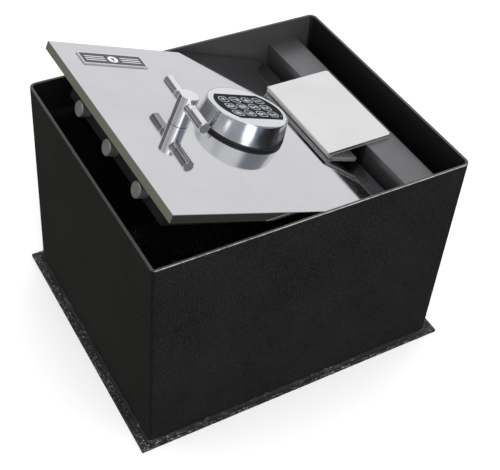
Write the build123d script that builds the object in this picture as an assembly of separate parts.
from build123d import *
import math
import os

# In-floor safe: an open-topped folded steel box on a wider base plate, with a hinged
# door that carries a T-handle, three locking bolts and a round keypad lock.
# Millimetres, +Z up, origin at the centre of the underside of the base plate.
# +X points to the hinge side, the free edge of the door is on the -X side.

# ---- driving dimensions ----------------------------------------------------------
BODY_X = 340.0            # outside width across the hinge direction
BODY_Y = 290.0            # outside depth along the hinge
BODY_TOP = 246.0          # rim height above the floor
WALL = 3.0
RIM_ROUND = 0.5           # dressed edges of the open top
BEND_OUT = 8.0
BEND_IN = BEND_OUT - WALL
SEAM_OUT = 3.5            # the front left corner is a dressed weld, tighter than the bends
BASE_THICK = 4.0
BASE_LIP_X = 10.0         # how far the base plate stands out past the side walls
BASE_LIP_Y = 5.5          # and past the front and back walls
WELD_LEG = 4.0

DOOR_X = 266.0
DOOR_Y = 275.0
DOOR_THICK = 9.0
SKIN = 1.2                # stainless skin folded over the door plate
DOOR_TOP = 218.0          # top of the closed door
DOOR_LEFT = -161.0        # free edge of the closed door
OPEN_ANGLE = 20.0         # the door is modelled standing this far open

HINGE_X = 69.0
HINGE_RISE = 3.3          # pin axis above the door skin
KNUCKLE_R = 3.0
PIN_R = 1.5
HINGE_FRONT = -55.0
HINGE_BACK = 67.0
LEAF = 2.3
COVER = 2.0
KNUCKLES = 5
KNUCKLE_GAP = 0.15
LEAF_CUT = 0.35           # clearance cut round the other leaf's knuckles
SUPPORT_THICK = 3.0
SUPPORT_HIGH = 24.0

BAR_X0 = 112.0
BAR_X1 = 148.0
BAR_TOP = 222.0
BAR_HIGH = 36.0
DECK = 4.0

LEDGE_WIDE = 11.0
LEDGE_TOP = DOOR_TOP - DOOR_THICK - 0.3
LEDGE_BOTTOM = LEDGE_TOP - 11.2
LEDGE_END = 50.0

HANDLE_X = 79.0 + DOOR_LEFT
HANDLE_SET = -3.4         # the grips stand this far off the hinge line when drawn back
POST_R = 9.8
POST_HIGH = 31.5
CROSSBAR_R = 3.5
CROSSBAR_H = 21.5
HANDLE_LONG = 83.0        # over the ends of the two grips
GRIP_R = 5.8
GRIP_END_BEVEL = 0.8
GRIP_START = 17.0         # where the plain grip begins, from the middle of the post
WAIST_R = 5.4
COLLAR_R = 6.1            # each grip has a collar where it meets the post
COLLAR_END = 12.0
SOCKET_END = 30.0         # how far the crossbar reaches into each grip
SPINDLE_R = 5.0
POST_GAP = 0.3            # between the turning post and the door
BUSH_R = 8.0
BUSH_FLANGE = 2.0
LEAD_HOLE_R = 6.0
RUNNING_GAP = 0.1
SPINDLE_IN = 12.0         # how far the spindle reaches into the post
SET_SCREW_R = 2.0
CRANK_DROP = 9.0          # crank arm below the door plate
CRANK_THICK = 4.0
HUB_R = 9.0
CRANK_EYE_R = 5.5
HANDLE_TURN = 45.0

BOLT_R = 8.0
BOLT_DEEP = 30.0          # bolt axis below the door skin
BOLT_PITCH = 64.0
BOLT_INSET = 11.0         # bolt face inside the free edge when drawn back
BOLT_LONG = 57.0
BOLT_THROW = 12.0
BOLT_NECK_R = 4.0         # turned end that sits in the carriage
CARRIAGE_HIGH = 12.0
CARRIAGE_OVER = 12.0      # carriage past the outer bolts
TAIL_Y0 = -22.0
TAIL_Y1 = -8.0

KEYPAD_X = 152.0 + DOOR_LEFT
KEYPAD_R = 45.0
KEYPAD_TOP_R = 41.4
GASKET = 3.4
KEYPAD_HIGH = 22.0        # at the centre of the sloping face
KEYPAD_SLOPE = 6.0        # the face tips up towards the front
INSERT_R = 35.8
INSERT_CHORD = 25.4
KEY_PITCH = 14.2
KEY_SIZE = 12.7
KEY_CLIP_R = 31.6
LED_PLACE = (29.4, -16.8)
LED_R = 1.1
PLATE_DEEP = 2.8          # underside of the face plate below the keypad rim
PLATE_THICK = 2.2
KEY_DEEP = 3.2
KEY_THICK = 3.0
KEY_GAP = 0.25
BOARD_DEEP = 6.6
BOARD_THICK = 1.6
HOUSING_WALL = 5.0
HOUSING_TOP = 3.0         # thickness under the sloping face

BOX_X0 = -139.5           # bolt-work box under the door
BOX_X1 = 30.0
BOX_Y = 204.5
BOX_DEEP = 40.0           # lower face below the door skin
SHEET = 2.0
RAIL_X0 = BOX_X0 + 16.0
RAIL_THICK = 3.0
RAIL_END = 8.0            # rail ends short of the box walls
SCREW_INSET = 8.0
SCREW_R = 2.0
SCREW_LONG = 12.0
SCREW_HEAD_R = 3.8
SCREW_HEAD_HIGH = 2.0
COVER_POST_R = 4.5

BADGE_X = 58.4 + DOOR_LEFT
BADGE_Y = 108.0
BADGE_LONG = 72.0
BADGE_HIGH = 21.0
BADGE_THICK = 1.4
BADGE_BORDER = 1.2
BADGE_POCKET = 0.5

# ---- worked-out values -----------------------------------------------------------
IN_X = BODY_X / 2 - WALL
IN_Y = BODY_Y / 2 - WALL
HINGE_Z = DOOR_TOP + HINGE_RISE
HINGE = Axis((HINGE_X, 0, HINGE_Z), (0, 1, 0))
DOOR_RIGHT = DOOR_LEFT + DOOR_X
DOOR_UNDER = DOOR_TOP - DOOR_THICK
BOLT_Z = DOOR_TOP - BOLT_DEEP
BOLT_FACE = DOOR_LEFT + BOLT_INSET
BOLT_YS = {"front": -BOLT_PITCH, "middle": 0.0, "rear": BOLT_PITCH}
BOX_Z0 = DOOR_TOP - BOX_DEEP
CARRIAGE_X0 = BOLT_FACE + BOLT_LONG - CARRIAGE_HIGH
CARRIAGE_X1 = BOLT_FACE + BOLT_LONG
CARRIAGE_Z0 = BOLT_Z - CARRIAGE_HIGH / 2
CARRIAGE_Z1 = BOLT_Z + CARRIAGE_HIGH / 2
CRANK_R = BOLT_THROW / 2 / math.sin(math.radians(HANDLE_TURN / 2))
CRANK_PIN_R = 3.0
LOCK_X0 = -46.0
LOCK_X1 = 24.0
LOCK_Y = 58.0
LOCK_Z0 = DOOR_UNDER - 25.0
LOCK_WALL = 3.0
LOCK_LID = 2.0
LOCK_BOLT_IN = 22.0       # lock bolt inside the case
LOCK_BOLT_Z0 = LOCK_Z0 + 4.0
LOCK_BOLT_Z1 = LOCK_Z0 + 14.0
COIL_R = 7.5
COIL_Y = 12.0
COIL_Z = LOCK_Z0 + 12.0
LEAD_R = 2.0
BATTERY_Y0 = 46.0
BATTERY_Y1 = 72.0
BATTERY_Z0 = DOOR_UNDER - 19.0
BATTERY_Z1 = DOOR_UNDER - 2.0
STRAP = 1.5
STRAP_X0 = LOCK_X0 + 12.0
STRAP_X1 = LOCK_X0 + 26.0
STRAP_FOOT = 8.5
TAIL_END = LOCK_X0 - 2.3


def slab(x0, x1, y0, y1, z0, z1):
    """A box between two corners."""
    return Pos((x0 + x1) / 2, (y0 + y1) / 2, (z0 + z1) / 2) * Box(x1 - x0, y1 - y0, z1 - z0)


def rod(radius, x, y, z0, z1):
    """An upright cylinder."""
    return Pos(x, y, (z0 + z1) / 2) * Cylinder(radius, z1 - z0)


def rod_x(radius, x0, x1, y, z):
    """A cylinder along X."""
    return Pos((x0 + x1) / 2, y, z) * Rot(0, 90, 0) * Cylinder(radius, x1 - x0)


def rod_y(radius, x, y0, y1, z):
    """A cylinder along Y."""
    return Pos(x, (y0 + y1) / 2, z) * Rot(90, 0, 0) * Cylinder(radius, y1 - y0)


def pan_screw(x, y, z, head_r, head_high, shank_r, shank_long):
    """A screw put in from below, with its head under z."""
    head = rod(head_r, x, y, z - head_high, z)
    head = chamfer(head.edges().group_by(Axis.Z)[0], head_high * 0.4)
    slot = slab(x - head_r, x + head_r, y - 0.5, y + 0.5, z - head_high - 1, z - head_high + 0.8)
    return head - slot + rod(shank_r, x, y, z, z + shank_long)


# ---- the fixed body --------------------------------------------------------------
def folded_prism(offset, z0, z1, taper=0.0):
    """An upright prism that follows the walls, with its faces set out by an offset."""
    long, wide = BODY_X + 2 * offset, BODY_Y + 2 * offset
    outline = Rectangle(long, wide)
    bends = outline.vertices().sort_by(lambda v: v.X + v.Y)[1:]
    outline = fillet(bends, BEND_OUT + offset)
    seam = outline.vertices().sort_by(lambda v: math.hypot(v.X + long / 2, v.Y + wide / 2))[0]
    outline = fillet(seam, SEAM_OUT + offset)
    return extrude(Pos(0, 0, z0) * outline, z1 - z0, taper=taper)


def body_shell():
    shell = folded_prism(0, BASE_THICK, BODY_TOP) - folded_prism(-WALL, BASE_THICK, BODY_TOP)
    return fillet(shell.edges().group_by(Axis.Z)[-1], RIM_ROUND)


def base_plate():
    long, wide = BODY_X + 2 * BASE_LIP_X, BODY_Y + 2 * BASE_LIP_Y
    plate = Pos(0, 0, BASE_THICK / 2) * Box(long, wide, BASE_THICK)
    return chamfer(plate.edges().group_by(Axis.Z)[-1], 0.6)


def base_weld():
    """The fillet weld that runs round the foot of the walls."""
    bead = folded_prism(WELD_LEG, BASE_THICK, BASE_THICK + WELD_LEG, taper=45)
    return bead - folded_prism(0, 0, BODY_TOP)


def door_ledges():
    """Three square bars inside the walls that the door rests on and the bolts reach under."""
    left = slab(-IN_X, -IN_X + LEDGE_WIDE, LEDGE_WIDE - IN_Y, IN_Y - LEDGE_WIDE, LEDGE_BOTTOM, LEDGE_TOP)
    start = -IN_X + BEND_IN
    back = slab(start, LEDGE_END, IN_Y - LEDGE_WIDE, IN_Y, LEDGE_BOTTOM, LEDGE_TOP)
    front = slab(start, LEDGE_END, -IN_Y, LEDGE_WIDE - IN_Y, LEDGE_BOTTOM, LEDGE_TOP)
    return {"door_ledge_left": left, "door_ledge_back": back, "door_ledge_front": front}


def hinge_bar():
    bar = slab(BAR_X0, BAR_X1, -IN_Y, IN_Y, BAR_TOP - BAR_HIGH, BAR_TOP)
    return fillet(bar.edges().filter_by(Axis.Y), 1.2)


def hinge_deck_plate():
    """Closes the gap between the hinge bar and the wall from below."""
    z1 = BAR_TOP - BAR_HIGH
    return slab(BAR_X0, IN_X, BEND_IN - IN_Y, IN_Y - BEND_IN, z1 - DECK, z1)


def hinge_support_plate():
    """Stands against the bar under the fixed leaf."""
    return slab(BAR_X0 - SUPPORT_THICK, BAR_X0, HINGE_FRONT, HINGE_BACK, BAR_TOP - SUPPORT_HIGH, BAR_TOP)


# ---- the hinge -------------------------------------------------------------------
def knuckle_spans(first):
    """Every second stretch of the barrel, starting with the first or the second."""
    step = (HINGE_BACK - HINGE_FRONT) / KNUCKLES
    starts = [HINGE_FRONT + step * i for i in range(first, KNUCKLES, 2)]
    return [(y + KNUCKLE_GAP, y + step - KNUCKLE_GAP) for y in starts]


def hinge_leaf(x1, z0, z1, own, other):
    """A flat leaf with knuckles on its edge, cut back where the other leaf's knuckles run."""
    leaf = slab(HINGE_X, x1, HINGE_FRONT, HINGE_BACK, z0, z1)
    for y0, y1 in other:
        leaf -= slab(HINGE_X - 5, HINGE_X + KNUCKLE_R + LEAF_CUT, y0 - 0.3, y1 + 0.3, z0 - 5, z1 + 5)
    for y0, y1 in own:
        leaf += rod_y(KNUCKLE_R, HINGE_X, y0, y1, HINGE_Z)
    return leaf


def hinge_fixed_leaf():
    leaf = hinge_leaf(BAR_X1 - 8, BAR_TOP, BAR_TOP + LEAF, knuckle_spans(0), knuckle_spans(1))
    return leaf - rod_y(PIN_R, HINGE_X, HINGE_FRONT, HINGE_BACK, HINGE_Z)


def hinge_door_leaf():
    leaf = hinge_leaf(DOOR_RIGHT, DOOR_TOP, DOOR_TOP + LEAF, knuckle_spans(1), knuckle_spans(0))
    bore = rod_y(PIN_R + 0.05, HINGE_X, HINGE_FRONT, HINGE_BACK, HINGE_Z)
    return leaf - bore


def hinge_pin():
    return rod_y(PIN_R, HINGE_X, HINGE_FRONT, HINGE_BACK, HINGE_Z)


def hinge_cover():
    """The polished plate on top of the hinge."""
    z0 = BAR_TOP + LEAF
    cover = slab(HINGE_X - 3, BAR_X1 - 6, HINGE_FRONT, HINGE_BACK, z0, z0 + COVER)
    corners = [e for e in cover.edges().filter_by(Axis.Z) if e.center().X > HINGE_X]
    cover = fillet(corners, 3.5)
    return fillet(cover.edges().group_by(Axis.Z)[-1], 0.6)


# ---- the door --------------------------------------------------------------------
def door_holes(shape):
    """The hole for the handle bush and the one for the keypad's lead."""
    shape -= rod(BUSH_R, HANDLE_X, 0, 0, BODY_TOP)
    shape -= rod(LEAD_HOLE_R, KEYPAD_X, 0, 0, BODY_TOP)
    return shape


def door_plate():
    plate = slab(DOOR_LEFT + SKIN, DOOR_RIGHT - SKIN, SKIN - DOOR_Y / 2, DOOR_Y / 2 - SKIN,
                 DOOR_UNDER, DOOR_TOP - SKIN)
    return door_holes(plate)


def door_skin():
    """Stainless sheet over the top of the door plate and down its four edges."""
    skin = slab(DOOR_LEFT, DOOR_RIGHT, -DOOR_Y / 2, DOOR_Y / 2, DOOR_UNDER, DOOR_TOP)
    skin = fillet(skin.edges().group_by(Axis.Z)[-1], 0.7)
    skin -= slab(DOOR_LEFT + SKIN, DOOR_RIGHT - SKIN, SKIN - DOOR_Y / 2, DOOR_Y / 2 - SKIN,
                 DOOR_UNDER - 1, DOOR_TOP - SKIN)
    return door_holes(skin)


def badge_field(z0, z1):
    """The badge's plain middle, inside its border."""
    x, y = BADGE_LONG / 2 - BADGE_BORDER, BADGE_HIGH / 2 - BADGE_BORDER
    return slab(-x, x, -y, y, z0, z1)


def badge_plate():
    plate = slab(-BADGE_LONG / 2, BADGE_LONG / 2, -BADGE_HIGH / 2, BADGE_HIGH / 2, 0, BADGE_THICK)
    pocket = badge_field(BADGE_THICK - BADGE_POCKET, BADGE_THICK)
    return Pos(BADGE_X, BADGE_Y, DOOR_TOP) * (plate - pocket)


def badge_inlay():
    inlay = badge_field(BADGE_THICK - BADGE_POCKET, BADGE_THICK - 0.2)
    return Pos(BADGE_X, BADGE_Y, DOOR_TOP) * inlay


# ---- the handle ------------------------------------------------------------------
def handle_bush():
    """Flanged bush that fills the spindle hole in the door."""
    bush = rod(BUSH_R, HANDLE_X, 0, DOOR_UNDER, DOOR_TOP)
    bush += rod(BUSH_R + 3, HANDLE_X, 0, DOOR_UNDER - BUSH_FLANGE, DOOR_UNDER)
    return bush - rod(SPINDLE_R + RUNNING_GAP, HANDLE_X, 0, 0, BODY_TOP)


def set_handle(shape):
    """Turn a piece of the handle about the post to where it stands when drawn back."""
    return shape.rotate(Axis((HANDLE_X, 0, 0), (0, 0, 1)), HANDLE_SET)


def handle_post():
    z = DOOR_TOP + CROSSBAR_H
    post = rod(POST_R, HANDLE_X, 0, DOOR_TOP + POST_GAP, DOOR_TOP + POST_HIGH)
    post = fillet(post.edges().group_by(Axis.Z)[-1], 0.8)
    post -= set_handle(rod_y(CROSSBAR_R, HANDLE_X, -POST_R - 1, POST_R + 1, z))
    post -= set_handle(rod_x(SET_SCREW_R, HANDLE_X, HANDLE_X + POST_R + 1, 0, z))
    return post - rod(SPINDLE_R, HANDLE_X, 0, DOOR_TOP - 1, DOOR_TOP + SPINDLE_IN)


def handle_crossbar():
    return set_handle(rod_y(CROSSBAR_R, HANDLE_X, -SOCKET_END, SOCKET_END, DOOR_TOP + CROSSBAR_H))


def handle_grips():
    """Two turned sleeves pushed onto the crossbar, one each side of the post."""
    end = HANDLE_LONG / 2
    outline = [(0, 0), (COLLAR_R, 0), (COLLAR_R, COLLAR_END - 1), (WAIST_R + 0.2, COLLAR_END + 2.0),
               (WAIST_R, GRIP_START - 1), (GRIP_R, GRIP_START), (GRIP_R, end - GRIP_END_BEVEL),
               (GRIP_R - GRIP_END_BEVEL, end), (0, end)]
    sleeve = revolve(Plane.XZ * make_face(Polyline(*outline, close=True)), Axis.Z)
    sleeve -= rod(CROSSBAR_R, 0, 0, -1, SOCKET_END)
    post = rod(POST_R, HANDLE_X, 0, DOOR_TOP, BODY_TOP + POST_HIGH)
    grips = {}
    for name, tip in (("handle_grip_front", 90), ("handle_grip_rear", -90)):
        grips[name] = set_handle(Pos(HANDLE_X, 0, DOOR_TOP + CROSSBAR_H) * Rot(tip, 0, 0) * sleeve - post)
    return grips


def handle_set_screw():
    """Grub screw that pins the crossbar in the post, on the side facing the keypad."""
    x0 = HANDLE_X + CROSSBAR_R
    return set_handle(rod_x(SET_SCREW_R, x0, HANDLE_X + POST_R - 0.6, 0, DOOR_TOP + CROSSBAR_H))


def handle_spindle():
    return rod(SPINDLE_R, HANDLE_X, 0, DOOR_UNDER - CRANK_DROP - CRANK_THICK, DOOR_TOP + SPINDLE_IN)


def crank_place(angle):
    """Where the crank pin stands for an angle from straight ahead."""
    turn = math.radians(angle)
    return HANDLE_X + CRANK_R * math.sin(turn), CRANK_R * math.cos(turn)


def spindle_crank():
    z1 = DOOR_UNDER - CRANK_DROP
    z0 = z1 - CRANK_THICK
    x, y = crank_place(HANDLE_TURN / 2)
    arm = rod(HUB_R, HANDLE_X, 0, z0, z1) + rod(CRANK_EYE_R, x, y, z0, z1)
    web = Box(2 * CRANK_EYE_R, CRANK_R, CRANK_THICK)
    bridge = Pos((HANDLE_X + x) / 2, y / 2, (z0 + z1) / 2) * Rot(0, 0, -HANDLE_TURN / 2) * web
    return arm + bridge - rod(SPINDLE_R, HANDLE_X, 0, 0, BODY_TOP) - rod(CRANK_PIN_R, x, y, 0, BODY_TOP)


def crank_pin():
    x, y = crank_place(HANDLE_TURN / 2)
    return rod(CRANK_PIN_R, x, y, CARRIAGE_Z1 - CARRIAGE_HIGH / 2, DOOR_UNDER - CRANK_DROP)


# ---- the bolt work ---------------------------------------------------------------
def locking_bolts():
    bolts = {}
    for place, y in BOLT_YS.items():
        bolt = rod_x(BOLT_R, BOLT_FACE, CARRIAGE_X0, y, BOLT_Z)
        bolt = chamfer(bolt.edges().group_by(Axis.X)[0], 0.8)
        bolt += rod_x(BOLT_NECK_R, CARRIAGE_X0, CARRIAGE_X1, y, BOLT_Z)
        bolts["locking_bolt_" + place] = bolt
    return bolts


def bolt_carriage():
    """The bar behind the bolts, its lug for the crank pin and its tail towards the lock."""
    half = BOLT_PITCH + CARRIAGE_OVER
    bar = slab(CARRIAGE_X0, CARRIAGE_X1, -half, half, CARRIAGE_Z0, CARRIAGE_Z1)
    for y in BOLT_YS.values():
        bar -= rod_x(BOLT_NECK_R, CARRIAGE_X0 - 1, CARRIAGE_X1 + 1, y, BOLT_Z)
    x, y = crank_place(HANDLE_TURN / 2)
    lug = slab(CARRIAGE_X1, x + 8, y - 8, y + 9, CARRIAGE_Z1 - 4, CARRIAGE_Z1)
    play = CRANK_PIN_R + 0.3
    slot = slab(x - play, x + play, y - play - 1, y + play + 2, 0, BODY_TOP)
    tail = slab(CARRIAGE_X1, TAIL_END, TAIL_Y0, TAIL_Y1, BOLT_Z, CARRIAGE_Z1)
    return bar + (lug - slot) + tail


def bolt_work_frame():
    """Folded sheet box round the bolt work, with holes for the three bolts."""
    outer = slab(BOX_X0, BOX_X1, -BOX_Y / 2, BOX_Y / 2, BOX_Z0 + SHEET, DOOR_UNDER)
    inner = slab(BOX_X0 + SHEET, BOX_X1 - SHEET, SHEET - BOX_Y / 2, BOX_Y / 2 - SHEET,
                 BOX_Z0, DOOR_UNDER)
    frame = outer - inner
    for y in BOLT_YS.values():
        frame -= rod_x(BOLT_R + RUNNING_GAP, BOX_X0 - 1, BOX_X0 + SHEET + 1, y, BOLT_Z)
    return frame


def bolt_guide_rail():
    """The second bearing for the bolts, an upright rail inside the box."""
    half = BOX_Y / 2 - RAIL_END
    rail = slab(RAIL_X0, RAIL_X0 + RAIL_THICK, -half, half, BOX_Z0 + SHEET, DOOR_UNDER)
    for y in BOLT_YS.values():
        rail -= rod_x(BOLT_R + RUNNING_GAP, RAIL_X0 - 1, RAIL_X0 + RAIL_THICK + 1, y, BOLT_Z)
    return rail


def cover_screw_places():
    xs = (BOX_X0 + SCREW_INSET, BOX_X1 - SCREW_INSET)
    ys = (SCREW_INSET - BOX_Y / 2, BOX_Y / 2 - SCREW_INSET)
    return [(x, y) for x in xs for y in ys]


def bolt_work_cover():
    cover = slab(BOX_X0, BOX_X1, -BOX_Y / 2, BOX_Y / 2, BOX_Z0, BOX_Z0 + SHEET)
    for x, y in cover_screw_places():
        cover -= rod(SCREW_R, x, y, 0, BODY_TOP)
    return cover


def cover_posts():
    """Threaded posts on the underside of the door that hold the cover."""
    posts = Part()
    for x, y in cover_screw_places():
        post = rod(COVER_POST_R, x, y, BOX_Z0 + SHEET, DOOR_UNDER)
        posts += post - rod(SCREW_R, x, y, 0, BOX_Z0 + SHEET + SCREW_LONG)
    return posts


def cover_screws():
    screws = Part()
    for x, y in cover_screw_places():
        screws += pan_screw(x, y, BOX_Z0, SCREW_HEAD_R, SCREW_HEAD_HIGH, SCREW_R, SCREW_LONG)
    return screws


# ---- the lock --------------------------------------------------------------------
def lock_case():
    case = slab(LOCK_X0, LOCK_X1, -LOCK_Y / 2, LOCK_Y / 2, LOCK_Z0, DOOR_UNDER)
    case -= slab(LOCK_X0 + LOCK_WALL, LOCK_X1 - LOCK_WALL, LOCK_WALL - LOCK_Y / 2, LOCK_Y / 2 - LOCK_WALL,
                 LOCK_Z0 - 1, DOOR_UNDER - LOCK_WALL)
    case -= slab(LOCK_X0 - 1, LOCK_X0 + LOCK_WALL + 1, TAIL_Y0 - RUNNING_GAP, TAIL_Y1 + RUNNING_GAP,
                 LOCK_BOLT_Z0 - RUNNING_GAP, LOCK_BOLT_Z1 + RUNNING_GAP)
    return case - rod(LEAD_R + 0.2, KEYPAD_X, 0, LOCK_Z0, DOOR_UNDER + 1)


def lock_case_lid():
    return slab(LOCK_X0, LOCK_X1, -LOCK_Y / 2, LOCK_Y / 2, LOCK_Z0 - LOCK_LID, LOCK_Z0)


def lock_bolt():
    """Spring bolt that the carriage tail pushes back into the lock."""
    return slab(TAIL_END + 0.3, LOCK_X0 + LOCK_BOLT_IN, TAIL_Y0, TAIL_Y1, LOCK_BOLT_Z0, LOCK_BOLT_Z1)


def lock_bolt_spring():
    """Compression spring behind the lock bolt."""
    wire = 0.7
    turns = 5
    long = 12.0
    x0 = LOCK_X0 + LOCK_BOLT_IN + 0.4
    y = (TAIL_Y0 + TAIL_Y1) / 2
    z = (LOCK_BOLT_Z0 + LOCK_BOLT_Z1) / 2
    path = Helix(pitch=(long - 2 * wire) / turns, height=long - 2 * wire, radius=3.6)
    section = Plane(path @ 0, z_dir=path % 0) * Circle(wire)
    coil = sweep(section, path, is_frenet=True)
    return Pos(x0 + wire, y, z) * Rot(0, 90, 0) * coil


def lock_solenoid():
    """The electric release inside the lock."""
    body = rod_x(COIL_R, LOCK_X0 + 8, LOCK_X0 + 38, COIL_Y, COIL_Z)
    return body + rod_x(COIL_R / 3, LOCK_X0 + 4, LOCK_X0 + 8, COIL_Y, COIL_Z)


def battery():
    """Nine-volt block beside the lock, with its two snap contacts."""
    end = LOCK_X0 + 44
    cell = slab(LOCK_X0, end, BATTERY_Y0, BATTERY_Y1, BATTERY_Z0, BATTERY_Z1)
    for y in (BATTERY_Y0 + 7, BATTERY_Y1 - 7):
        cell += rod_x(2.8, end, end + 3, y, (BATTERY_Z0 + BATTERY_Z1) / 2)
    return cell


def battery_bracket():
    """Strap under the battery, with a foot on the door at each side."""
    strap = slab(STRAP_X0, STRAP_X1, BATTERY_Y0 - STRAP, BATTERY_Y1 + STRAP, BATTERY_Z0 - STRAP, BATTERY_Z0)
    for y0, y1, foot0, foot1 in (
        (BATTERY_Y0 - STRAP, BATTERY_Y0, BATTERY_Y0 - STRAP - STRAP_FOOT, BATTERY_Y0 - STRAP),
        (BATTERY_Y1, BATTERY_Y1 + STRAP, BATTERY_Y1 + STRAP, BATTERY_Y1 + STRAP + STRAP_FOOT),
    ):
        strap += slab(STRAP_X0, STRAP_X1, y0, y1, BATTERY_Z0, DOOR_UNDER)
        strap += slab(STRAP_X0, STRAP_X1, foot0, foot1, DOOR_UNDER - STRAP, DOOR_UNDER)
    return strap


# ---- the keypad ------------------------------------------------------------------
def on_face(shape):
    """Put a shape that is drawn flat at the origin onto the keypad's sloping face."""
    return Pos(KEYPAD_X, 0, DOOR_TOP + KEYPAD_HIGH) * Rot(-KEYPAD_SLOPE, 0, 0) * shape


def insert_outline(radius, chord):
    """A circle cut by two chords, one in front and one behind."""
    return Circle(radius) & Rectangle(2 * radius + 2, 2 * chord)


def keypad_gasket():
    gasket = rod(KEYPAD_R, KEYPAD_X, 0, DOOR_TOP, DOOR_TOP + GASKET)
    gasket = fillet(gasket.edges().filter_by(GeomType.CIRCLE), 0.8)
    return gasket - rod(KEYPAD_R - HOUSING_WALL, KEYPAD_X, 0, 0, BODY_TOP)


def keypad_housing():
    top = KEYPAD_HIGH + 8
    high = top - GASKET
    taper = math.degrees(math.atan((KEYPAD_R - KEYPAD_TOP_R) / (KEYPAD_HIGH - GASKET)))
    body = Pos(KEYPAD_X, 0, DOOR_TOP + GASKET) * extrude(Circle(KEYPAD_R), high, taper=taper)
    body -= on_face(Pos(0, 0, 30) * Box(200, 200, 60))
    rim = body.edges().sort_by(Axis.Z)[-1]
    body = fillet(rim, 2.6)
    cavity = rod(KEYPAD_R - HOUSING_WALL, KEYPAD_X, 0, DOOR_TOP, DOOR_TOP + 40)
    cavity -= on_face(Pos(0, 0, 30 - HOUSING_TOP) * Box(200, 200, 60))
    body -= cavity
    return body - on_face(extrude(insert_outline(INSERT_R, INSERT_CHORD), 8, both=True))


def key_places():
    """Key names in the order of a phone keypad whose top is at the hinge side."""
    rows = (("1", "2", "3"), ("4", "5", "6"), ("7", "8", "9"), ("star", "0", "hash"))
    places = {}
    for i, row in enumerate(rows):
        for j, name in enumerate(row):
            places["key_" + name] = ((1.5 - i) * KEY_PITCH, (1 - j) * KEY_PITCH)
    return places


def key_outline(x, y, grow):
    square = Pos(x, y) * Rectangle(KEY_SIZE + 2 * grow, KEY_SIZE + 2 * grow)
    return square & Circle(KEY_CLIP_R + grow)


def keypad_insert():
    """Black face plate with a window for each key."""
    plate = extrude(insert_outline(INSERT_R, INSERT_CHORD), PLATE_THICK)
    for x, y in key_places().values():
        plate -= Pos(0, 0, -1) * extrude(key_outline(x, y, KEY_GAP), 6)
    led_x, led_y = LED_PLACE
    plate -= Pos(led_x, led_y, -1) * extrude(Circle(LED_R), 6)
    return on_face(Pos(0, 0, -PLATE_DEEP) * plate)


def keys():
    """Twelve keys that stand a little proud of the face plate."""
    made = {}
    for name, (x, y) in key_places().items():
        key = extrude(key_outline(x, y, 0), KEY_THICK)
        key = fillet(key.edges().group_by(Axis.Z)[-1], 0.4)
        made[name] = on_face(Pos(0, 0, -KEY_DEEP) * key)
    return made


def keypad_led():
    led_x, led_y = LED_PLACE
    return on_face(Pos(led_x, led_y, -PLATE_DEEP) * extrude(Circle(LED_R), PLATE_THICK + 0.2))


def keypad_circuit_board():
    return on_face(Pos(0, 0, -BOARD_DEEP) * extrude(insert_outline(INSERT_R - 1, INSERT_CHORD), BOARD_THICK))


def lock_lead():
    """The lead from the keypad through the door to the lock."""
    return rod(LEAD_R, KEYPAD_X, 0, DOOR_UNDER - LOCK_WALL, DOOR_TOP + KEYPAD_HIGH - BOARD_DEEP - 0.5)


def main():
    fixed = {
        "body_shell": body_shell(),
        "base_plate": base_plate(),
        "base_weld": base_weld(),
        "hinge_bar": hinge_bar(),
        "hinge_deck_plate": hinge_deck_plate(),
        "hinge_support_plate": hinge_support_plate(),
        "hinge_fixed_leaf": hinge_fixed_leaf(),
        "hinge_pin": hinge_pin(),
        "hinge_cover": hinge_cover(),
    }
    fixed.update(door_ledges())
    swinging = {
        "door_plate": door_plate(),
        "door_skin": door_skin(),
        "hinge_door_leaf": hinge_door_leaf(),
        "badge_plate": badge_plate(),
        "badge_inlay": badge_inlay(),
        "handle_bush": handle_bush(),
        "handle_post": handle_post(),
        "handle_crossbar": handle_crossbar(),
        "handle_set_screw": handle_set_screw(),
        "handle_spindle": handle_spindle(),
        "spindle_crank": spindle_crank(),
        "crank_pin": crank_pin(),
        "bolt_carriage": bolt_carriage(),
        "bolt_work_frame": bolt_work_frame(),
        "bolt_guide_rail": bolt_guide_rail(),
        "bolt_work_cover": bolt_work_cover(),
        "cover_posts": cover_posts(),
        "cover_screws": cover_screws(),
        "lock_case": lock_case(),
        "lock_case_lid": lock_case_lid(),
        "lock_bolt": lock_bolt(),
        "lock_bolt_spring": lock_bolt_spring(),
        "lock_solenoid": lock_solenoid(),
        "battery": battery(),
        "battery_bracket": battery_bracket(),
        "keypad_gasket": keypad_gasket(),
        "keypad_housing": keypad_housing(),
        "keypad_insert": keypad_insert(),
        "keypad_led": keypad_led(),
        "keypad_circuit_board": keypad_circuit_board(),
        "lock_lead": lock_lead(),
    }
    swinging.update(handle_grips())
    swinging.update(locking_bolts())
    swinging.update(keys())
    os.makedirs("parts", exist_ok=True)
    for name, shape in fixed.items():
        export_step(shape, "parts/" + name + ".step")
    for name, shape in swinging.items():
        export_step(shape.rotate(HINGE, OPEN_ANGLE), "parts/" + name + ".step")
    print(len(fixed) + len(swinging), "nodes")


main()
